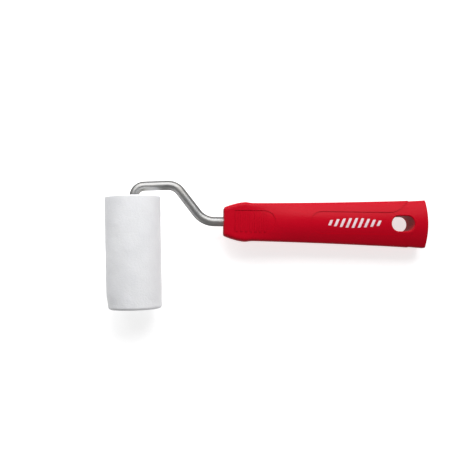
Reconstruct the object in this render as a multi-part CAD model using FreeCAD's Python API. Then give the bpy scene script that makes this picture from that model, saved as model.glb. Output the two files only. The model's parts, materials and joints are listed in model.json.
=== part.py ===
"""Mini foam paint roller: a bent wire frame in a hollow plastic grip, with a foam refill that is pushed
onto a free-running spindle.

Everything is drawn first in the plane of the bent wire: X runs from the axle towards the end of the grip,
Y runs along the axle towards the crossbar, and Z is square to that plane. The origin is where the axle's
centre line crosses the grip's centre line. The finished parts are then laid down, so that the foam and
the end of the grip both touch the ground plane Z = 0, with the box's bottom centre at the origin.
Millimetres throughout.
"""

import FreeCAD, Part

import math
import os

Vec = FreeCAD.Vector

# ---------------------------------------------------------------- driving dimensions
ROLLER_DIAMETER = 37.0
ROLLER_LENGTH = 76.0
ROLLER_TOP = 16.4  # near end of the foam, above the grip's centre line
FOAM_EDGE_ROUND = 1.2

CORE_OUTER_RADIUS = 8.5
CORE_INNER_RADIUS = 7.5
CORE_RECESS = 0.8  # the core stops short of the foam at both ends

WIRE_RADIUS = 3.2
GRIP_START = 61.0  # axle to the front face of the grip
CROSSBAR_RISE = 23.9  # grip's centre line to the crossbar, at its middle
CROSSBAR_SLOPE = 0.052  # the crossbar climbs a little away from the axle
SHOULDER_X = 28.0  # where the crossbar turns down
ELBOW_X = 47.5  # where the slanting arm meets the grip's centre line
AXLE_BEND_RADIUS = 7.0
SHOULDER_BEND_RADIUS = 10.5
ELBOW_BEND_RADIUS = 15.0

GRIP_LENGTH = 138.4
GRIP_END_HALF_WIDTH = 16.3
GRIP_END_DOME = 1.0
GRIP_END_ROUND = 1.3
GRIP_FRONT_ROUND = 2.0
GRIP_WALL = 2.4
RECESS_DEPTH = 0.4
SEAM_HALF_WIDTH = 0.15
CAVITY_START = 4.0
CAVITY_END = 132.5
GRIP_REACH = 20.0  # half size of the blocks that cut across the whole grip
OVERRUN = 5.0  # how far a cutting block runs past what it cuts

HANG_HOLE_FROM_FRONT = 121.4
HANG_HOLE_LENGTH = 15.6
HANG_HOLE_WIDTH = 10.4
HOLE_RIM_ROUND = 0.7
RIM_LEVEL = 9.0  # the hole's outer edges lie further than this from the plane of the wire

RUNNING_CLEARANCE = 0.08
AXIAL_CLEARANCE = 0.3

# Grip form: (distance from the front face, half width, half thickness, crown, corner radius). A section has
# two crowned faces, upright sides and round corners. The crown is how far a face falls from its middle to
# its edge: the nose is flat, and the body behind it is well rounded. Both ends run on past the grip's own.
GRIP_FORM = [
    (-2.5, 8.6, 7.5, 0.2, 2.2),
    (2.5, 10.7, 8.3, 0.2, 2.2),
    (7.5, 12.3, 9.0, 0.25, 1.8),
    (12.5, 13.36, 9.45, 0.35, 1.8),
    (15.0, 13.54, 9.6, 0.45, 1.8),
    (17.5, 13.2, 9.65, 0.6, 1.8),
    (20.0, 13.0, 9.7, 0.85, 1.8),
    (25.0, 13.05, 9.75, 1.4, 1.8),
    (37.5, 13.25, 9.9, 2.8, 1.8),
    (50.0, 13.52, 10.05, 3.7, 1.8),
    (70.0, 14.02, 10.3, 3.9, 1.8),
    (95.0, 14.84, 10.6, 4.1, 1.8),
    (120.0, 15.78, 10.95, 4.3, 1.8),
    (132.5, 16.5, 11.15, 4.4, 1.8),
    (140.0, 17.1, 11.3, 4.5, 1.8),
]
SIDE_DRAFT = 0.05  # how much narrower a section is at its faces than at the parting line
SECTION_PITCH = 2.5
SIDE_STEPS, CORNER_STEPS, FACE_STEPS = 3, 4, 5  # points along each quarter of a section
TYPICAL_SECTION = (13.9, 9.9, 2.0, 1.8)
MIN_CORNER = 0.5

# Thumb pad and label panel: shallow recesses in both faces of the grip.
RECESS_HALF_WIDTH = 7.6
PAD_START = 7.2
PAD_END = 35.0
PANEL_START = 58.4
PANEL_FLARE_START = 112.0
PANEL_FLARE_END = 128.5
PANEL_EDGE = 18.0  # past the grip's edge
FLARE_LEAD = 8.0  # the flare's curve leaves the straight edge this gently
FLARE_TAIL = (6.0, 4.0)  # and meets the grip's edge from this much before and inside it
PAD_RIB_COUNT = 7
PAD_RIB_PITCH = 3.15
PAD_RIB_WIDTH = 1.5
PAD_RIB_INSET = 0.8

# Wire tail inside the grip, and the ribs that hold it.
TAIL_ROUND_END = 36.0
TAIL_END = 47.0
TAIL_WIDTH = 9.0
TAIL_THICKNESS = 3.4
TAIL_ROUND = 2.0
CRADLE_RIBS = [12.0, 24.0, 33.0]
TAIL_RIB = 41.0
STIFFENING_RIBS = [54.0, 74.0, 94.0]
RIB_THICKNESS = 1.8
WINDOW_HALF_WIDTH = 6.5
WINDOW_HALF_HEIGHT = 4.5
PEG_PLACES = [(18.0, 7.4), (18.0, -7.4), (64.0, 0.0), (104.0, 0.0)]
PEG_RADIUS = 1.6
PEG_LENGTH = 3.2
SOCKET_CLEARANCE = 0.1
BOSS_RADIUS = 3.4
HOLE_BOSS_WALL = 2.2

# Spindle, washer and retaining nut on the axle.
AXLE_TIP = ROLLER_TOP - 70.2  # the wire's lower end
TIP_BEVEL = 0.8
STOP_EARS_Y = ROLLER_TOP - 3.6
EAR_HALF_HEIGHT = 1.4
EAR_REACH = 4.3
EAR_HALF_THICKNESS = 1.1
EAR_ROUND = 0.9
SPINDLE_TOP = ROLLER_TOP - 6.0
SPINDLE_BOTTOM = ROLLER_TOP - 65.8
SPINDLE_BODY_RADIUS = 5.0
SPINDLE_FIN_COUNT = 6
SPINDLE_FIN_WIDTH = 1.6
SPINDLE_FIN_LEAD = 3.0  # taper at the fins' lower ends
SPINDLE_FLANGE_RADIUS = 7.2
SPINDLE_FLANGE_THICKNESS = 1.6
WASHER_RADIUS = 6.0
WASHER_THICKNESS = 1.0
NUT_RADIUS = 5.8
NUT_THICKNESS = 0.6
NUT_HUB_RADIUS = 4.3
NUT_HUB_HEIGHT = 1.0
NUT_TONGUES = 6
NUT_SLIT_WIDTH = 0.6
END_CAP_WALL = 1.2
END_CAP_SKIRT = 4.0
END_CAP_DISH = 0.4

ROLLER_RADIUS = ROLLER_DIAMETER / 2
ROLLER_BOTTOM = ROLLER_TOP - ROLLER_LENGTH


# ---------------------------------------------------------------- helpers
def cylinder_along_y(radius, low, high):
    """A cylinder on the axle's centre line between two heights."""
    return Part.makeCylinder(radius, high - low, Vec(0, low, 0), Vec(0, 1, 0))


def ring_along_y(inner, outer, low, high):
    return cylinder_along_y(outer, low, high).cut(cylinder_along_y(inner, low - 1, high + 1))


def block(x0, x1, y0, y1, z0, z1):
    return Part.makeBox(x1 - x0, y1 - y0, z1 - z0, Vec(x0, y0, z0))


def grip_block(start, end, y0, y1, z0, z1):
    """A block placed by its distance from the grip's front face."""
    return block(GRIP_START + start, GRIP_START + end, y0, y1, z0, z1)


def smooth_value(rows, column, distance):
    """A column of the table at any distance, on a smooth curve that doesn't overshoot its rows."""
    here = max(i for i in range(len(rows) - 1) if rows[i][0] <= distance)
    slopes = [(q[column] - p[column]) / (q[0] - p[0]) for p, q in zip(rows, rows[1:])]
    before, along, after = slopes[max(here - 1, 0)], slopes[here], slopes[min(here + 1, len(slopes) - 1)]
    leave = 0.0 if before * along <= 0 else 2 * before * along / (before + along)
    arrive = 0.0 if along * after <= 0 else 2 * along * after / (along + after)
    span = rows[here + 1][0] - rows[here][0]
    t = (distance - rows[here][0]) / span
    rise = rows[here + 1][column] - rows[here][column]
    curve = rise * t * t * (3 - 2 * t) + span * (leave * t * (1 - t) ** 2 - arrive * t * t * (1 - t))
    return rows[here][column] + curve


def section_points(half_width, half_thickness, crown, corner):
    """Points (y, z) round one section of the grip, from the middle of its back face."""
    face_radius = (half_width**2 + crown**2) / (2 * crown)
    face_centre = half_thickness - face_radius
    corner_y = half_width - corner
    corner_z = face_centre + math.sqrt((face_radius - corner) ** 2 - corner_y**2)
    turn = math.atan2(corner_z - face_centre, corner_y)
    face_edge = face_radius * math.cos(turn)
    quarter = [(half_width, corner_z * i / SIDE_STEPS) for i in range(SIDE_STEPS)]
    for i in range(CORNER_STEPS):
        angle = turn * i / CORNER_STEPS
        quarter.append((corner_y + corner * math.cos(angle), corner_z + corner * math.sin(angle)))
    for i in range(FACE_STEPS + 1):
        y = face_edge * (1 - i / FACE_STEPS)
        quarter.append((y, face_centre + math.sqrt(face_radius**2 - y**2)))
    loop = []
    for side, face in ((-1, -1), (-1, 1), (1, 1), (1, -1)):
        points = quarter if side * face < 0 else quarter[::-1]
        for y, z in points[:-1]:
            loop.append((side * y * (1 - SIDE_DRAFT * (z / half_thickness) ** 2), face * z))
    return loop


def section_spacing():
    """One set of curve parameters that every section shares: the running length round a typical one."""
    loop = section_points(*TYPICAL_SECTION)
    lengths = [0.0]
    for here, there in zip(loop, loop[1:] + loop[:1]):
        lengths.append(lengths[-1] + math.dist(here, there))
    return lengths


def grip_outside(inset):
    """The grip's outer form, or one that lies the inset below its surface."""
    spacing = section_spacing()
    first, last = GRIP_FORM[0][0], GRIP_FORM[-1][0]
    wires = []
    for i in range(round((last - first) / SECTION_PITCH) + 1):
        distance = first + i * SECTION_PITCH
        width, thickness, crown, corner = (smooth_value(GRIP_FORM, k, distance) for k in range(1, 5))
        loop = section_points(width - inset, thickness - inset, crown, max(corner - inset, MIN_CORNER))
        points = [Vec(GRIP_START + distance, y, z) for y, z in loop]
        curve = Part.BSplineCurve()
        curve.interpolate(Points=points, PeriodicFlag=True, Parameters=spacing)
        wires.append(Part.Wire([curve.toShape()]))
    return Part.makeLoft(wires, True, False)


def obround(start_x, end_x, half_width, z0, z1):
    """A slot shape with round ends, square to the plane of the wire."""
    left, right = start_x + half_width, end_x - half_width
    top = Part.LineSegment(Vec(left, half_width, z0), Vec(right, half_width, z0)).toShape()
    nose = Part.Arc(Vec(right, half_width, z0), Vec(end_x, 0, z0), Vec(right, -half_width, z0)).toShape()
    base = Part.LineSegment(Vec(right, -half_width, z0), Vec(left, -half_width, z0)).toShape()
    tail = Part.Arc(Vec(left, -half_width, z0), Vec(start_x, 0, z0), Vec(left, half_width, z0)).toShape()
    return Part.Face(Part.Wire([top, nose, base, tail])).extrude(Vec(0, 0, z1 - z0))


# ---------------------------------------------------------------- wire frame
def rounded_path(corners, radii):
    """Straight runs joined by tangent arcs, as one wire."""
    edges = []
    start = corners[0]
    for i, radius in enumerate(radii, start=1):
        corner = corners[i]
        back = (corners[i - 1] - corner).normalize()
        ahead = (corners[i + 1] - corner).normalize()
        half_angle = back.getAngle(ahead) / 2
        tangent = radius / math.tan(half_angle)
        middle = (back + ahead).normalize()
        first = corner + back * tangent
        last = corner + ahead * tangent
        top = corner + middle * (radius / math.sin(half_angle) - radius)
        edges.append(Part.LineSegment(start, first).toShape())
        edges.append(Part.Arc(first, top, last).toShape())
        start = last
    edges.append(Part.LineSegment(start, corners[-1]).toShape())
    return Part.Wire(edges)


def wire_frame():
    axle_corner_y = CROSSBAR_RISE - CROSSBAR_SLOPE * SHOULDER_X / 2
    shoulder_y = CROSSBAR_RISE + CROSSBAR_SLOPE * SHOULDER_X / 2
    corners = [
        Vec(0, AXLE_TIP, 0),
        Vec(0, axle_corner_y, 0),
        Vec(SHOULDER_X, shoulder_y, 0),
        Vec(ELBOW_X, 0, 0),
        Vec(GRIP_START + TAIL_ROUND_END + 2, 0, 0),
    ]
    radii = [AXLE_BEND_RADIUS, SHOULDER_BEND_RADIUS, ELBOW_BEND_RADIUS]
    path = rounded_path(corners, radii)
    profile = Part.Wire([Part.Circle(corners[0], Vec(0, 1, 0), WIRE_RADIUS).toShape()])
    rod = path.makePipeShell([profile], True, False)
    tip_edges = [e for e in rod.Edges if e.BoundBox.YMax < AXLE_TIP + 0.01]
    rod = rod.makeChamfer(TIP_BEVEL, tip_edges)
    return rod.fuse([stop_ears(), tail_paddle()]).removeSplitter()


def stop_ears():
    """Two ears pinched out of the wire, which keep the spindle off the bend."""
    low, high = STOP_EARS_Y - EAR_HALF_HEIGHT, STOP_EARS_Y + EAR_HALF_HEIGHT
    ears = block(-EAR_REACH, EAR_REACH, low, high, -EAR_HALF_THICKNESS, EAR_HALF_THICKNESS)
    return ears.makeFillet(EAR_ROUND, [e for e in ears.Edges if e.BoundBox.ZLength > EAR_HALF_THICKNESS])


def tail_paddle():
    """The flattened tail that stops the wire turning in the grip."""
    start, end = GRIP_START + TAIL_ROUND_END, GRIP_START + TAIL_END
    half = TAIL_WIDTH / 2
    paddle = block(start, end, -half, half, -TAIL_THICKNESS / 2, TAIL_THICKNESS / 2)
    corners = [e for e in paddle.Edges if e.BoundBox.ZLength > TAIL_THICKNESS / 2]
    return paddle.makeFillet(TAIL_ROUND, corners)


# ---------------------------------------------------------------- grip
def bezier(poles):
    curve = Part.BezierCurve()
    curve.setPoles(poles)
    return curve.toShape()


def panel_prism():
    """The label panel's outline: round at the front, and flared out to the grip's edges at the back."""
    w, edge, low = RECESS_HALF_WIDTH, PANEL_EDGE, -GRIP_REACH
    front = GRIP_START + PANEL_START
    start = GRIP_START + PANEL_FLARE_START
    end = GRIP_START + PANEL_FLARE_END
    back = GRIP_START + GRIP_LENGTH + OVERRUN
    flare = [(start, w), (start + FLARE_LEAD, w), (end - FLARE_TAIL[0], edge - FLARE_TAIL[1]), (end, edge)]
    outline = [
        Part.Arc(Vec(front + w, -w, low), Vec(front, 0, low), Vec(front + w, w, low)).toShape(),
        Part.LineSegment(Vec(front + w, w, low), Vec(start, w, low)).toShape(),
        bezier([Vec(x, y, low) for x, y in flare]),
        Part.LineSegment(Vec(end, edge, low), Vec(back, edge, low)).toShape(),
        Part.LineSegment(Vec(back, edge, low), Vec(back, -edge, low)).toShape(),
        Part.LineSegment(Vec(back, -edge, low), Vec(end, -edge, low)).toShape(),
        bezier([Vec(x, -y, low) for x, y in flare[::-1]]),
        Part.LineSegment(Vec(start, -w, low), Vec(front + w, -w, low)).toShape(),
    ]
    return Part.Face(Part.Wire(outline)).extrude(Vec(0, 0, 2 * GRIP_REACH))


def pad_prism():
    """The thumb pad's outline, square at the front and round at the back, less the ribs left in it."""
    half = RECESS_HALF_WIDTH
    straight_end = PAD_END - half
    outline = grip_block(PAD_START, straight_end, -half, half, -GRIP_REACH, GRIP_REACH)
    round_end = Vec(GRIP_START + straight_end, 0, -GRIP_REACH)
    outline = outline.fuse(Part.makeCylinder(half, 2 * GRIP_REACH, round_end))
    rib_half = half - PAD_RIB_INSET
    ribs = []
    for i in range(PAD_RIB_COUNT):
        left = PAD_START + PAD_RIB_INSET + i * PAD_RIB_PITCH
        ribs.append(grip_block(left, left + PAD_RIB_WIDTH, -rib_half, rib_half, -GRIP_REACH, GRIP_REACH))
    return outline.cut(ribs).removeSplitter()


def surface_cuts():
    """The front half's pad, panel and share of the seam, all one recess deep."""
    seam = grip_block(-1, GRIP_LENGTH + OVERRUN, -GRIP_REACH, GRIP_REACH, 0, SEAM_HALF_WIDTH)
    core = grip_outside(RECESS_DEPTH)
    return [front_half(shape).cut(core) for shape in (pad_prism(), panel_prism(), seam)]


def grip_cavity():
    """The hollow inside the grip, closed by a wall at each end."""
    between_walls = grip_block(CAVITY_START, CAVITY_END, -GRIP_REACH, GRIP_REACH, -GRIP_REACH, GRIP_REACH)
    return grip_outside(GRIP_WALL).common(between_walls)


def hang_hole(clearance):
    """The hole's own form, or that of the boss round it."""
    centre = GRIP_START + HANG_HOLE_FROM_FRONT
    half = HANG_HOLE_LENGTH / 2 + clearance
    return obround(centre - half, centre + half, HANG_HOLE_WIDTH / 2 + clearance, -GRIP_REACH, GRIP_REACH)


def rib_plate(distance):
    half = RIB_THICKNESS / 2
    return grip_block(distance - half, distance + half, -GRIP_REACH, GRIP_REACH, -GRIP_REACH, GRIP_REACH)


def grip_inside_work(cavity):
    """Ribs, bosses and the tube of the hanging hole, trimmed to the cavity."""
    pieces = [rib_plate(d) for d in CRADLE_RIBS + [TAIL_RIB] + STIFFENING_RIBS]
    for distance, y in PEG_PLACES:
        foot = Vec(GRIP_START + distance, y, -GRIP_REACH)
        pieces.append(Part.makeCylinder(BOSS_RADIUS, 2 * GRIP_REACH, foot))
    pieces.append(hang_hole(HOLE_BOSS_WALL))
    return [piece.common(cavity) for piece in pieces]


def wire_channel():
    """The way through the ribs that the wire and its flattened tail lie in."""
    bore = Part.makeCylinder(WIRE_RADIUS, TAIL_ROUND_END + 2, Vec(GRIP_START - 1, 0, 0), Vec(1, 0, 0))
    half_width, half_thick = TAIL_WIDTH / 2, TAIL_THICKNESS / 2
    slot = grip_block(TAIL_ROUND_END, TAIL_END + 1, -half_width, half_width, -half_thick, half_thick)
    return bore.fuse(slot)


def stiffener_windows():
    """Openings that lighten the ribs behind the wire."""
    half, wide, high = RIB_THICKNESS, WINDOW_HALF_WIDTH, WINDOW_HALF_HEIGHT
    return [grip_block(d - half, d + half, -wide, wide, -high, high) for d in STIFFENING_RIBS]


def grip_end_trim():
    """What lies past the domed end of the grip."""
    radius = (GRIP_END_HALF_WIDTH**2 + GRIP_END_DOME**2) / (2 * GRIP_END_DOME)
    centre = Vec(GRIP_START + GRIP_LENGTH - radius, 0, -GRIP_REACH)
    keep = Part.makeCylinder(radius, 2 * GRIP_REACH, centre)
    keep.rotate(centre, Vec(0, 0, 1), 180)  # turns the cylinder's seam away from the grip's end
    beyond = grip_block(
        GRIP_LENGTH - 2 * GRIP_END_DOME, GRIP_LENGTH + OVERRUN, -GRIP_REACH, GRIP_REACH, -GRIP_REACH, GRIP_REACH
    )
    return beyond.cut(keep)


def front_half(shape):
    """What lies on the front shell's side of the parting line, behind the grip's front face."""
    return shape.common(grip_block(0, GRIP_LENGTH + OVERRUN, -GRIP_REACH, GRIP_REACH, 0, GRIP_REACH))


def rounded_half():
    """The front half of the grip's outer form, with its two end edges rounded."""
    half = front_half(grip_outside(0).cut(grip_end_trim()))
    ends = [e for e in half.Edges if e.BoundBox.XMin > GRIP_START + GRIP_LENGTH - 1.5 * GRIP_END_DOME]
    half = half.makeFillet(GRIP_END_ROUND, [e for e in ends if e.BoundBox.ZLength > 1])
    fronts = [e for e in half.Edges if e.BoundBox.XMax < GRIP_START + 0.01]
    return half.makeFillet(GRIP_FRONT_ROUND, [e for e in fronts if e.BoundBox.ZLength > 1])


def with_rounded_rim(shell):
    """The shell with the hanging hole's outer edge rounded."""
    centre = GRIP_START + HANG_HOLE_FROM_FRONT
    reach = HANG_HOLE_LENGTH / 2 + 0.1
    rim = []
    for edge in shell.Edges:
        box = edge.BoundBox
        beside_hole = abs(box.XMin - centre) < reach and abs(box.XMax - centre) < reach
        if beside_hole and box.ZMin > RIM_LEVEL and box.YLength < HANG_HOLE_WIDTH + 0.1:
            rim.append(edge)
    return shell.makeFillet(HOLE_RIM_ROUND, rim)


def half_shell():
    """One half of the grip, hollow and ribbed, before its pegs or sockets."""
    cavity = grip_cavity()
    shell = rounded_half().cut(surface_cuts()).cut(cavity)
    shell = shell.fuse([front_half(piece) for piece in grip_inside_work(cavity)])
    return with_rounded_rim(shell.cut([wire_channel(), hang_hole(0)] + stiffener_windows()))


def grip_shells():
    """The front half of the grip with its pegs, and the back half, its mirror image, with their sockets."""
    front = half_shell()
    back = front.mirror(Vec(0, 0, 0), Vec(0, 0, 1))
    pegs, sockets = [], []
    for distance, y in PEG_PLACES:
        foot = Vec(GRIP_START + distance, y, 1)
        pegs.append(Part.makeCylinder(PEG_RADIUS, PEG_LENGTH + 1, foot, Vec(0, 0, -1)))
        depth = PEG_LENGTH + 1 + SOCKET_CLEARANCE
        sockets.append(Part.makeCylinder(PEG_RADIUS + SOCKET_CLEARANCE, depth, foot, Vec(0, 0, -1)))
    return front.fuse(pegs), back.cut(sockets)


# ---------------------------------------------------------------- spindle and its fixings
def stop_washer():
    top = SPINDLE_TOP + WASHER_THICKNESS
    return ring_along_y(WIRE_RADIUS + 0.15, WASHER_RADIUS, SPINDLE_TOP, top)


def spindle():
    """The moulded spindle: a bored body with a flange at the top and fins that grip the core."""
    top = SPINDLE_TOP - AXIAL_CLEARANCE
    body = cylinder_along_y(SPINDLE_BODY_RADIUS, SPINDLE_BOTTOM, top)
    flange = cylinder_along_y(SPINDLE_FLANGE_RADIUS, top - SPINDLE_FLANGE_THICKNESS, top)
    fin_reach = CORE_INNER_RADIUS - RUNNING_CLEARANCE
    fin_start = SPINDLE_BOTTOM + SPINDLE_FIN_LEAD
    lead_foot = Vec(0, fin_start, 0)
    lead_in = Part.makeCone(SPINDLE_BODY_RADIUS, fin_reach, SPINDLE_FIN_LEAD, lead_foot, Vec(0, 1, 0))
    envelope = lead_in.fuse(cylinder_along_y(fin_reach, fin_start + SPINDLE_FIN_LEAD, top))
    half = SPINDLE_FIN_WIDTH / 2
    fins = []
    for i in range(SPINDLE_FIN_COUNT):
        fin = block(0, fin_reach + 1, fin_start, top - SPINDLE_FLANGE_THICKNESS / 2, -half, half)
        fin.rotate(Vec(0, 0, 0), Vec(0, 1, 0), i * 360 / SPINDLE_FIN_COUNT)
        fins.append(fin.common(envelope))
    bore = cylinder_along_y(WIRE_RADIUS + RUNNING_CLEARANCE, SPINDLE_BOTTOM - 1, top + 1)
    return body.fuse([flange] + fins).cut(bore).removeSplitter()


def push_nut():
    """A spring-steel nut with a hub of slit tongues, pushed over the axle's end."""
    top = SPINDLE_BOTTOM - AXIAL_CLEARANCE
    low = top - NUT_THICKNESS - NUT_HUB_HEIGHT
    disc = ring_along_y(WIRE_RADIUS, NUT_RADIUS, top - NUT_THICKNESS, top)
    hub_foot = Vec(0, top - NUT_THICKNESS, 0)
    hub = Part.makeCone(NUT_HUB_RADIUS, WIRE_RADIUS + 0.4, NUT_HUB_HEIGHT, hub_foot, Vec(0, -1, 0))
    hub = hub.cut(cylinder_along_y(WIRE_RADIUS, low - 1, top + 1))
    half = NUT_SLIT_WIDTH / 2
    slits = []
    for i in range(NUT_TONGUES // 2):
        slit = block(-NUT_RADIUS, NUT_RADIUS, low - 1, top + 1, -half, half)
        slit = slit.common(cylinder_along_y(NUT_HUB_RADIUS + 0.2, low - 1, top + 1))
        slit.rotate(Vec(0, 0, 0), Vec(0, 1, 0), i * 360 / NUT_TONGUES)
        slits.append(slit)
    return disc.fuse(hub).cut(slits)


# ---------------------------------------------------------------- refill
def foam_cover():
    foam = ring_along_y(CORE_OUTER_RADIUS, ROLLER_RADIUS, ROLLER_BOTTOM, ROLLER_TOP)
    boxes = [(e, e.BoundBox) for e in foam.Edges]
    rims = [e for e, box in boxes if box.XLength > ROLLER_DIAMETER - 0.1 and box.YLength < 0.1]
    return foam.makeFillet(FOAM_EDGE_ROUND, rims)


def core_tube():
    return ring_along_y(
        CORE_INNER_RADIUS, CORE_OUTER_RADIUS, ROLLER_BOTTOM + CORE_RECESS, ROLLER_TOP - CORE_RECESS
    )


def end_cap():
    """The plug that closes the refill's far end: a dished disc with a skirt pressed into the core."""
    low = ROLLER_BOTTOM + CORE_RECESS
    cup = cylinder_along_y(CORE_INNER_RADIUS, low, low + END_CAP_SKIRT)
    inside = CORE_INNER_RADIUS - END_CAP_WALL
    hollow = cylinder_along_y(inside, low + END_CAP_WALL, low + END_CAP_SKIRT + 1)
    dish_radius = (inside**2 + END_CAP_DISH**2) / (2 * END_CAP_DISH)
    dish = Part.makeSphere(dish_radius, Vec(0, low + END_CAP_DISH - dish_radius, 0))
    return cup.cut([hollow, dish])


# ---------------------------------------------------------------- laying the roller down
def tilted(angle):
    """The placement that turns the roller about the axle and sets the foam on the ground."""
    return FreeCAD.Placement(Vec(0, 0, ROLLER_RADIUS), FreeCAD.Rotation(Vec(0, 1, 0), angle))


def lay_down_angle(grip_half):
    """The tilt about the axle at which the grip's end touches the ground as the foam does."""
    angle = 0.0
    for _ in range(5):
        laid = grip_half.copy()
        laid.Placement = tilted(angle)
        angle += math.degrees(laid.optimalBoundingBox(False).ZMin / (GRIP_START + GRIP_LENGTH))
    return angle


def drawn_shapes():
    front_shell, back_shell = grip_shells()
    return {
        "handle_front_shell": front_shell,
        "handle_back_shell": back_shell,
        "wire_frame": wire_frame(),
        "stop_washer": stop_washer(),
        "spindle": spindle(),
        "push_nut": push_nut(),
        "foam_cover": foam_cover(),
        "core_tube": core_tube(),
        "end_cap": end_cap(),
    }


def laid_down(shapes):
    """Where every part goes: tilted onto the ground, with the box's bottom centre at the origin."""
    tilt = tilted(lay_down_angle(shapes["handle_back_shell"]))
    box = FreeCAD.BoundBox()
    for shape in shapes.values():
        laid = shape.copy()
        laid.Placement = tilt
        box.add(laid.optimalBoundingBox(False))
    shift = FreeCAD.Placement(Vec(-box.Center.x, -box.Center.y, -box.ZMin), FreeCAD.Rotation())
    return shift.multiply(tilt)


def main():
    os.makedirs("parts", exist_ok=True)
    shapes = drawn_shapes()
    placement = laid_down(shapes)
    print("drawing's origin in the finished frame:", placement.Base)
    print("drawing's Z axis in the finished frame:", placement.Rotation.multVec(Vec(0, 0, 1)))
    for name, shape in shapes.items():
        shape.Placement = placement.multiply(shape.Placement)
        shape.exportStep(f"parts/{name}.step")
        box = shape.optimalBoundingBox(False)
        size = [round(v, 2) for v in (box.XMin, box.XMax, box.YMin, box.YMax, box.ZMin, box.ZMax)]
        print(name, "valid" if shape.isValid() else "INVALID", len(shape.Solids), round(shape.Volume), size)


if __name__ == "__main__":
    main()
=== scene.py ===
"""The looks of a mini foam paint roller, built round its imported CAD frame.

Metres throughout, in the CAD's own frame: the roller lies flat, with its grip along +X, its axle
along Y and its crossbar on the +Y side. The refill rides on its own body, so it spins and pulls off
in one piece.
"""

import json
import math

import bpy
from mathutils import Matrix, Vector, noise
from mathutils.bvhtree import BVHTree


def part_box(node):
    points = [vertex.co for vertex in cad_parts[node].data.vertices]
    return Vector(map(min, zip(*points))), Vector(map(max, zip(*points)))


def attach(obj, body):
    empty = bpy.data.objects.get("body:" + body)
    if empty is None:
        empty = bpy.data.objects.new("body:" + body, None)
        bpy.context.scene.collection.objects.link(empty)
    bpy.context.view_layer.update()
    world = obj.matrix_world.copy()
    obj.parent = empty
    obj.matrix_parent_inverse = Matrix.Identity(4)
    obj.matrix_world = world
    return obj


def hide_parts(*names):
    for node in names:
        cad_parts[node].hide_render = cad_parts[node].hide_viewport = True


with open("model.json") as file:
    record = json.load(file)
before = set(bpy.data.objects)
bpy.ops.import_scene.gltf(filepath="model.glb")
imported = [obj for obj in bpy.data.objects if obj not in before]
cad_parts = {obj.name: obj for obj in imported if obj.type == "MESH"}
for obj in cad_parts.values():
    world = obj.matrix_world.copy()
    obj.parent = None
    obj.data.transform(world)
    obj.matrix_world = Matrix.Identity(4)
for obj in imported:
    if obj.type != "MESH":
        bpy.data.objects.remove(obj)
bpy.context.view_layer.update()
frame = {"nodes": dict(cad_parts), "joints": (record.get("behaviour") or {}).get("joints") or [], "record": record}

MM = 0.001

# ---------------------------------------------------------------- places, all from the frame
spin = next(joint for joint in frame["joints"] if joint["name"] == "roller_spin")
AXLE = Vector(spin["pos_m"])
foam_low, foam_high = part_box("foam_cover")
core_low, core_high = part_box("core_tube")
FOAM_RADIUS = (foam_high.x - foam_low.x) / 2
CORE_RADIUS = (core_high.x - core_low.x) / 2
hole = next(mount for mount in frame["record"]["mounts"] if mount["name"] == "hang_hole")
HOLE_CENTRE = Vector(hole["pos_m"])
GRIP_NORMAL = Vector(hole["axis"]).normalized()
ACROSS_GRIP = Vector((0, 1, 0))
ALONG_GRIP = ACROSS_GRIP.cross(GRIP_NORMAL)


def link(obj):
    bpy.context.scene.collection.objects.link(obj)
    return obj


def smoothstep(low, high, value):
    t = min(1.0, max(0.0, (value - low) / (high - low)))
    return t * t * (3 - 2 * t)


# ---------------------------------------------------------------- camera
CAMERA_HEIGHT = 0.480  # above the plane of the axle
CAMERA_FROM_AXLE = 0.0621
CAMERA_BELOW_FOAM_TOP = 0.03566
AIM_ABOVE_NADIR = 0.0170
VIEW_WIDTH = 0.3056  # what the view takes in, across, at the axle's height
CAMERA_ROLL = math.radians(0.67)
SENSOR_WIDTH = 36.0
CLIP_START, CLIP_END = 0.01, 20.0


def add_camera():
    data = bpy.data.cameras.new("camera")
    data.sensor_width = SENSOR_WIDTH
    data.lens = data.sensor_width * CAMERA_HEIGHT / VIEW_WIDTH
    data.clip_start = CLIP_START
    data.clip_end = CLIP_END
    camera = link(bpy.data.objects.new("camera", data))
    eye_y = foam_high.y - CAMERA_BELOW_FOAM_TOP
    eye = Vector((AXLE.x + CAMERA_FROM_AXLE, eye_y, AXLE.z + CAMERA_HEIGHT))
    aim = Vector((eye.x, eye.y + AIM_ABOVE_NADIR, AXLE.z))
    back = (eye - aim).normalized()
    level = Vector((math.cos(CAMERA_ROLL), math.sin(CAMERA_ROLL), 0.0))
    right = (level - back * level.dot(back)).normalized()
    up = back.cross(right)
    camera.matrix_world = Matrix.Translation(eye) @ Matrix((right, up, back)).transposed().to_4x4()
    bpy.context.scene.camera = camera


add_camera()


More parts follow.
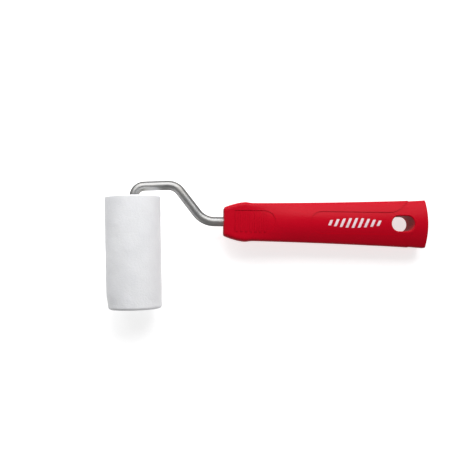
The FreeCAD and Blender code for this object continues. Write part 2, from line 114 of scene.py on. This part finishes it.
# ---------------------------------------------------------------- material nodes
class Recipe:
    """A material with one Principled shader, and short calls for the textures that feed it."""

    def __init__(self, name, color, roughness, metallic=0.0):
        self.material = bpy.data.materials.new(name)
        self.material.use_nodes = True
        self.tree = self.material.node_tree
        self.shader = self.tree.nodes["Principled BSDF"]
        self.shader.inputs["Base Color"].default_value = (*color, 1)
        self.shader.inputs["Roughness"].default_value = roughness
        self.shader.inputs["Metallic"].default_value = metallic
        self.place = self.tree.nodes.new("ShaderNodeTexCoord").outputs["Object"]
        self.bumped = None

    def set(self, socket, value):
        self.shader.inputs[socket].default_value = value

    def link(self, source, target):
        self.tree.links.new(source, target)

    def stretched(self, scale, turn=(0, 0, 0)):
        """The object's coordinates, scaled unevenly, for streaks."""
        node = self.tree.nodes.new("ShaderNodeMapping")
        node.inputs["Scale"].default_value = scale
        node.inputs["Rotation"].default_value = turn
        self.link(self.place, node.inputs["Vector"])
        return node.outputs["Vector"]

    def noise(self, size, detail=3.0, roughness=0.5, place=None):
        """Noise with features about this many metres across."""
        node = self.tree.nodes.new("ShaderNodeTexNoise")
        node.inputs["Scale"].default_value = 1 / size
        node.inputs["Detail"].default_value = detail
        node.inputs["Roughness"].default_value = roughness
        self.link(place or self.place, node.inputs["Vector"])
        return node.outputs["Fac"]

    def cells(self, size):
        """Voronoi cells about this many metres across: the distance from each cell's heart."""
        node = self.tree.nodes.new("ShaderNodeTexVoronoi")
        node.inputs["Scale"].default_value = 1 / size
        self.link(self.place, node.inputs["Vector"])
        return node.outputs["Distance"]

    def span(self, source, low, high, to_low=0.0, to_high=1.0):
        """Maps low..high of a value to to_low..to_high, clamped."""
        node = self.tree.nodes.new("ShaderNodeMapRange")
        node.inputs["From Min"].default_value = low
        node.inputs["From Max"].default_value = high
        node.inputs["To Min"].default_value = to_low
        node.inputs["To Max"].default_value = to_high
        self.link(source, node.inputs["Value"])
        return node.outputs["Result"]

    def mixed(self, amount, first, second):
        """A colour between two colours or colour outputs."""
        node = self.tree.nodes.new("ShaderNodeMix")
        node.data_type = "RGBA"
        self.link(amount, node.inputs["Factor"])
        for socket, value in ((node.inputs[6], first), (node.inputs[7], second)):
            if isinstance(value, tuple):
                socket.default_value = (*value, 1)
            else:
                self.link(value, socket)
        return node.outputs[2]

    def maths(self, operation, first, second):
        node = self.tree.nodes.new("ShaderNodeMath")
        node.operation = operation
        for socket, value in ((node.inputs[0], first), (node.inputs[1], second)):
            if isinstance(value, (int, float)):
                socket.default_value = value
            else:
                self.link(value, socket)
        return node.outputs[0]

    def color(self, source):
        self.link(source, self.shader.inputs["Base Color"])

    def roughness(self, source):
        self.link(source, self.shader.inputs["Roughness"])

    def bump(self, height, depth, strength=1.0):
        """Adds a layer of bump, this many metres deep, on top of those already there."""
        node = self.tree.nodes.new("ShaderNodeBump")
        node.inputs["Distance"].default_value = depth
        node.inputs["Strength"].default_value = strength
        self.link(height, node.inputs["Height"])
        if self.bumped:
            self.link(self.bumped, node.inputs["Normal"])
        self.bumped = node.outputs["Normal"]
        self.link(self.bumped, self.shader.inputs["Normal"])


def grip_plastic():
    """Red moulded plastic: satin, with fine grain, faint flow marks and light handling scuffs."""
    r = Recipe("grip_plastic", (0.45, 0.0003, 0.0107), 0.34)
    r.set("Specular IOR Level", 0.12)
    flow = r.noise(0.055, 2.0, 0.4, r.stretched((0.35, 1.0, 1.0)))
    cloud = r.noise(0.014, 4.0, 0.55)
    tone = r.mixed(r.span(flow, 0.35, 0.65), (0.432, 0.0003, 0.0098), (0.466, 0.0004, 0.0115))
    r.color(r.mixed(r.span(cloud, 0.62, 0.78, 0.0, 0.25), tone, (0.50, 0.0012, 0.016)))
    scuffs = r.noise(0.006, 5.0, 0.6, r.stretched((0.12, 1.0, 1.0), (0, 0, 0.5)))
    worn = r.span(scuffs, 0.60, 0.72, 0.0, 0.10)
    r.roughness(r.maths("ADD", r.span(cloud, 0.3, 0.7, 0.30, 0.38), worn))
    r.bump(r.noise(0.00042, 2.0, 0.5), 0.000016, 0.55)
    r.bump(r.span(scuffs, 0.60, 0.72), 0.00002, 0.25)
    return r.material


def zinc_wire():
    """Zinc plate on drawn steel rod: cloudy, faintly yellow in places, with fine rub marks."""
    r = Recipe("zinc_wire", (0.60, 0.595, 0.58), 0.27, 1.0)
    cloud = r.noise(0.011, 5.0, 0.6)
    fine = r.noise(0.0016, 4.0, 0.65)
    tone = r.mixed(r.span(cloud, 0.35, 0.68), (0.46, 0.465, 0.47), (0.60, 0.585, 0.555))
    stained = r.mixed(r.span(fine, 0.60, 0.74, 0.0, 0.45), tone, (0.42, 0.40, 0.37))
    r.color(stained)
    rubbed = r.span(fine, 0.30, 0.70, -0.05, 0.09)
    r.roughness(r.maths("ADD", r.span(cloud, 0.30, 0.70, 0.32, 0.44), rubbed))
    draw_marks = r.noise(0.0009, 3.0, 0.7, r.stretched((0.25, 1.0, 1.0)))
    r.bump(draw_marks, 0.000012, 0.5)
    r.bump(cloud, 0.00012, 0.18)
    return r.material


def spring_steel():
    """Blue-grey hardened steel of the washer and the push-on nut."""
    r = Recipe("spring_steel", (0.36, 0.37, 0.39), 0.34, 1.0)
    cloud = r.noise(0.003, 4.0, 0.6)
    r.color(r.mixed(r.span(cloud, 0.35, 0.65), (0.30, 0.31, 0.34), (0.44, 0.44, 0.44)))
    r.roughness(r.span(cloud, 0.3, 0.7, 0.28, 0.42))
    r.bump(r.noise(0.0004, 2.0, 0.6), 0.00001, 0.4)
    return r.material


def moulded_white(name, dark, light, grain):
    """Plain moulded polypropylene, a little waxy."""
    r = Recipe(name, light, 0.42)
    r.set("Subsurface Weight", 0.12)
    r.set("Subsurface Radius", (0.0015, 0.0015, 0.0012))
    r.set("Subsurface Scale", 1.0)
    cloud = r.noise(0.009, 3.0, 0.5)
    r.color(r.mixed(r.span(cloud, 0.3, 0.7), dark, light))
    r.roughness(r.span(cloud, 0.3, 0.7, 0.36, 0.5))
    r.bump(r.noise(grain, 2.0, 0.5), 0.000012, 0.4)
    return r.material


def white_foam():
    """Fine-celled white foam: matt, with open cells of two sizes, painted shade darkening each cell's heart, and a
    faint unevenness of tone.
    """
    r = Recipe("white_foam", (0.74, 0.745, 0.76), 0.95)
    r.set("Specular IOR Level", 0.15)
    r.set("Sheen Weight", 0.25)
    r.set("Sheen Roughness", 0.6)
    r.set("Subsurface Weight", 0.2)
    r.set("Subsurface Radius", (0.0022, 0.0022, 0.0024))
    r.set("Subsurface Scale", 1.0)
    cells = r.cells(0.00055)
    pores = r.cells(0.0014)
    cloud = r.noise(0.018, 4.0, 0.55)
    tone = r.mixed(r.span(cloud, 0.3, 0.7), (0.715, 0.72, 0.735), (0.775, 0.78, 0.79))
    # painted shade: the colour darkens towards the heart of each small cell and each larger pore, standing in for
    # shade inside the hollows
    tone_with_painted_cell_shade = r.mixed(r.span(cells, 0.0, 0.35, 0.30, 0.0), tone, (0.56, 0.565, 0.58))
    r.color(r.mixed(r.span(pores, 0.0, 0.16, 0.35, 0.0), tone_with_painted_cell_shade, (0.52, 0.525, 0.54)))
    r.roughness(r.span(cloud, 0.3, 0.7, 0.9, 1.0))
    r.bump(r.span(cells, 0.0, 0.6), 0.00010, 0.6)
    r.bump(r.span(pores, 0.0, 0.22), 0.00022, 0.5)
    return r.material


def print_ink():
    """Off-white tampo print: thin, slightly uneven, so the red glows through at its edges."""
    r = Recipe("print_ink", (0.70, 0.55, 0.58), 0.5)
    speckle = r.noise(0.0005, 3.0, 0.6)
    cloud = r.noise(0.004, 3.0, 0.5)
    tone = r.mixed(r.span(cloud, 0.3, 0.7), (0.68, 0.52, 0.56), (0.78, 0.64, 0.67))
    r.color(r.mixed(r.span(speckle, 0.60, 0.72, 0.0, 0.5), tone, (0.62, 0.20, 0.24)))
    r.roughness(r.span(cloud, 0.3, 0.7, 0.42, 0.55))
    r.bump(speckle, 0.00001, 0.4)
    return r.material


GRIP = grip_plastic()
WIRE = zinc_wire()
STEEL = spring_steel()
CORE = moulded_white("core_plastic", (0.66, 0.66, 0.64), (0.75, 0.75, 0.73), grain=0.0006)
SPINDLE = moulded_white("spindle_plastic", (0.55, 0.57, 0.58), (0.66, 0.68, 0.68), grain=0.0005)
FOAM = white_foam()
INK = print_ink()

FINISHES = {
    "handle_front_shell": GRIP,
    "handle_back_shell": GRIP,
    "wire_frame": WIRE,
    "stop_washer": STEEL,
    "push_nut": STEEL,
    "core_tube": CORE,
    "end_cap": CORE,
    "spindle": SPINDLE,
    "foam_cover": FOAM,
}
for node_name, material in FINISHES.items():
    mesh = frame["nodes"][node_name].data
    mesh.materials.clear()
    mesh.materials.append(material)


# ---------------------------------------------------------------- foam sleeve
FOAM_SEGMENTS = 300
FOAM_ROW = 0.42 * MM
BORE_ROWS = 8
RIM_STEPS = 6
FOAM_LEAN = math.radians(2.0)  # the sleeve sits a little askew on its core
FOAM_NEAR_ROUND = 0.9 * MM
FOAM_FAR_ROUND = 1.9 * MM
FOAM_UNEVEN = 0.22 * MM
UNEVEN_SCALE = 55
FOAM_TAPER = 0.35 * MM  # how much wider the near end is than the far one, in radius
FOAM_OFF_CENTRE = 0.25 * MM  # the skin stands further out on the grip's side
FOAM_CELL_DEPTH = 0.055 * MM
CELL_SCALE = 900
FOAM_PRESSED = 1.1 * MM  # how far the far rim is pushed in on its -X side
PRESSED_REACH = 12 * MM
GLUED_DEPTH = 0.35  # the inner part of the foam's thickness, where the core holds it in place
FOAM_FLOOR = 0.02 * MM  # the skin rests here, just clear of the ground


def foam_run(start, end):
    """Evenly spaced points from start up to, but not including, end."""
    count = max(1, round(math.dist(start, end) / FOAM_ROW))
    return [tuple(a + (b - a) * i / count for a, b in zip(start, end)) for i in range(count)]


def foam_rim(radius, y, side):
    """A quarter circle on a rim: outwards at the near end (side 1), inwards at the far one."""
    points = []
    for i in range(RIM_STEPS):
        angle = math.pi / 2 * i / RIM_STEPS
        across, along = math.sin(angle), math.cos(angle)
        if side < 0:
            across, along = along, across
        height = y - side * radius + side * radius * along
        points.append((FOAM_RADIUS - radius + radius * across, height))
    return points


def foam_profile():
    """The sleeve's section as (radius, y) points: the bore, the near end, the skin, the far end."""
    low, high = foam_low.y, foam_high.y
    bore, outer = CORE_RADIUS, FOAM_RADIUS
    points = [(bore, low + (high - low) * i / BORE_ROWS) for i in range(BORE_ROWS)]
    points += foam_run((bore, high), (outer - FOAM_NEAR_ROUND, high))
    points += foam_rim(FOAM_NEAR_ROUND, high, 1)
    points += foam_run((outer, high - FOAM_NEAR_ROUND), (outer, low + FOAM_FAR_ROUND))
    points += foam_rim(FOAM_FAR_ROUND, low, -1)
    points += foam_run((outer - FOAM_FAR_ROUND, low), (bore, low))
    return points


def foam_point(radius, y, angle):
    """One point of the sleeve, with its unevenness, cells, taper, pressed rim and lean."""
    around = Vector((math.sin(angle), 0, math.cos(angle)))
    depth = (radius - CORE_RADIUS) / (FOAM_RADIUS - CORE_RADIUS)
    middle = (foam_low.y + foam_high.y) / 2
    length = foam_high.y - foam_low.y
    from_low = y - foam_low.y
    at = around * radius + Vector((0, y, 0))
    uneven = FOAM_UNEVEN * noise.fractal(at * UNEVEN_SCALE, 0.8, 2.0, 3)
    cells = FOAM_CELL_DEPTH * noise.fractal(at * CELL_SCALE, 0.7, 2.1, 2)
    pressed = FOAM_PRESSED * smoothstep(PRESSED_REACH, 0.0, from_low) * max(0.0, -around.x) ** 2
    free = smoothstep(0.0, GLUED_DEPTH, depth)
    wider = FOAM_TAPER * from_low / length
    radius += free * (uneven + cells + wider - pressed * depth)
    if abs(y - middle) > length / 2 - FOAM_FAR_ROUND:
        y += free * 0.5 * (cells + uneven) * (1 if y > middle else -1)
    point = AXLE + around * radius
    lean = free * FOAM_LEAN
    offset = y - middle
    x = point.x + free * FOAM_OFF_CENTRE - math.sin(lean) * offset
    y = middle + math.cos(lean) * offset + math.sin(lean) * around.x * radius
    return Vector((x, y, max(point.z, FOAM_FLOOR)))


def build_foam():
    """The foam sleeve: its section carried round the axle, closed on itself."""
    profile = foam_profile()
    rows = len(profile)
    points = []
    for i in range(FOAM_SEGMENTS):
        angle = 2 * math.pi * i / FOAM_SEGMENTS
        points += [foam_point(radius, y, angle) for radius, y in profile]
    faces = []
    for i in range(FOAM_SEGMENTS):
        here, there = i * rows, (i + 1) % FOAM_SEGMENTS * rows
        for j in range(rows):
            k = (j + 1) % rows
            faces.append((here + j, here + k, there + k, there + j))
    mesh = bpy.data.meshes.new("foam_sleeve")
    mesh.from_pydata(points, [], faces)
    mesh.update()
    mesh.shade_smooth()
    mesh.materials.append(FOAM)
    foam = link(bpy.data.objects.new("foam_sleeve", mesh))
    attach(foam, "refill")
    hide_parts("foam_cover")


build_foam()


# ---------------------------------------------------------------- printed mark on the grip
MARK_FROM_HOLE = -0.0331  # the mark's middle, along the grip
MARK_BARS = 9
MARK_PITCH = 4.1 * MM
MARK_BAR_WIDTH = 1.9 * MM
MARK_HEIGHT = 6.6 * MM
MARK_SLANT = 0.42
MARK_LIFT = 0.025 * MM
MARK_GRID = (4, 12)  # the faces across and up each bar
SHORTEST_BAR = 0.45  # of the height that a middle bar would have
CORNER_CUT, CORNER_POWER = 0.10, 12
ABOVE_GRIP = 30 * MM


def grip_surface():
    """A function that finds the grip's face from distances along and across it from the hole."""
    mesh = frame["nodes"]["handle_front_shell"].data
    tree = BVHTree.FromPolygons([v.co for v in mesh.vertices], [p.vertices for p in mesh.polygons])

    def on_face(along, across):
        place = HOLE_CENTRE + ALONG_GRIP * along + ACROSS_GRIP * across
        above = place + GRIP_NORMAL * ABOVE_GRIP
        return tree.ray_cast(above, -GRIP_NORMAL)[0] + GRIP_NORMAL * MARK_LIFT

    return on_face


def bar_outline(s, t, height):
    """A slanted bar with soft corners: s runs across the bar and t up it, both from -1 to 1."""
    corner = 1 - CORNER_CUT * abs(t) ** CORNER_POWER
    return s * MARK_BAR_WIDTH / 2 * corner + t * height / 2 * MARK_SLANT, t * height / 2


def build_mark():
    """A plain row of slanted bars, tallest in the middle, on the grip's face before the hole."""
    on_face = grip_surface()
    across_steps, up_steps = MARK_GRID
    points, faces = [], []
    for bar in range(MARK_BARS):
        middle = MARK_FROM_HOLE + (bar - (MARK_BARS - 1) / 2) * MARK_PITCH
        swell = math.sin(math.pi * (bar + 0.5) / MARK_BARS)
        height = MARK_HEIGHT * (SHORTEST_BAR + (1 - SHORTEST_BAR) * swell)
        first = len(points)
        for j in range(up_steps + 1):
            for i in range(across_steps + 1):
                along, across = bar_outline(2 * i / across_steps - 1, 2 * j / up_steps - 1, height)
                points.append(on_face(middle + along, across))
        for j in range(up_steps):
            for i in range(across_steps):
                a = first + j * (across_steps + 1) + i
                faces.append((a, a + 1, a + across_steps + 2, a + across_steps + 1))
    mesh = bpy.data.meshes.new("grip_mark")
    mesh.from_pydata(points, [], faces)
    mesh.update()
    mesh.shade_smooth()
    mesh.materials.append(INK)
    mark = link(bpy.data.objects.new("grip_mark", mesh))
    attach(mark, "handle")


build_mark()


# ---------------------------------------------------------------- floor and light
FLOOR_HALF = 3.0
FLOOR_GLOW = 0.70  # a light table: the glow fills the shadows
WORLD_GREY = 0.22
LIGHT_TARGET = Vector((0, 0, 0.015))


def add_floor():
    """A pale, matt ground that glows a little and doesn't show in gloss."""
    r = Recipe("floor", (0.6, 0.6, 0.6), 0.9)
    r.set("Specular IOR Level", 0.0)
    r.set("Emission Color", (1, 1, 1, 1))
    r.set("Emission Strength", FLOOR_GLOW)
    mesh = bpy.data.meshes.new("floor")
    h = FLOOR_HALF
    mesh.from_pydata([(-h, -h, 0), (h, -h, 0), (h, h, 0), (-h, h, 0)], [], [(0, 1, 2, 3)])
    mesh.materials.append(r.material)
    floor = link(bpy.data.objects.new("floor", mesh))
    floor.visible_glossy = False


def add_softbox(name, size, power, place, color, mirrored=True):
    """A rectangular lamp aimed at the object. One that isn't mirrored leaves no gloss."""
    data = bpy.data.lights.new(name, "AREA")
    data.shape = "RECTANGLE"
    data.size, data.size_y = size
    data.energy = power
    data.color = color
    light = link(bpy.data.objects.new(name, data))
    light.location = place
    aim = LIGHT_TARGET - Vector(place)
    light.rotation_euler = aim.to_track_quat("-Z", "Y").to_euler()
    light.visible_glossy = mirrored


def add_world():
    world = bpy.data.worlds.new("world")
    world.use_nodes = True
    background = world.node_tree.nodes["Background"]
    background.inputs["Color"].default_value = (1, 1, 1, 1)
    background.inputs["Strength"].default_value = WORLD_GREY
    bpy.context.scene.world = world


add_floor()
add_softbox("key", size=(1.1, 0.7), power=4.6, place=(-0.06, 0.52, 0.44), color=(0.985, 0.99, 1.0))
add_softbox(
    "fill", size=(0.35, 0.25), power=1.45, place=(0.03, 0.30, 0.36), color=(1.0, 0.995, 1.0),
    mirrored=False,
)
add_world()
bpy.context.scene.view_settings.view_transform = "Standard"
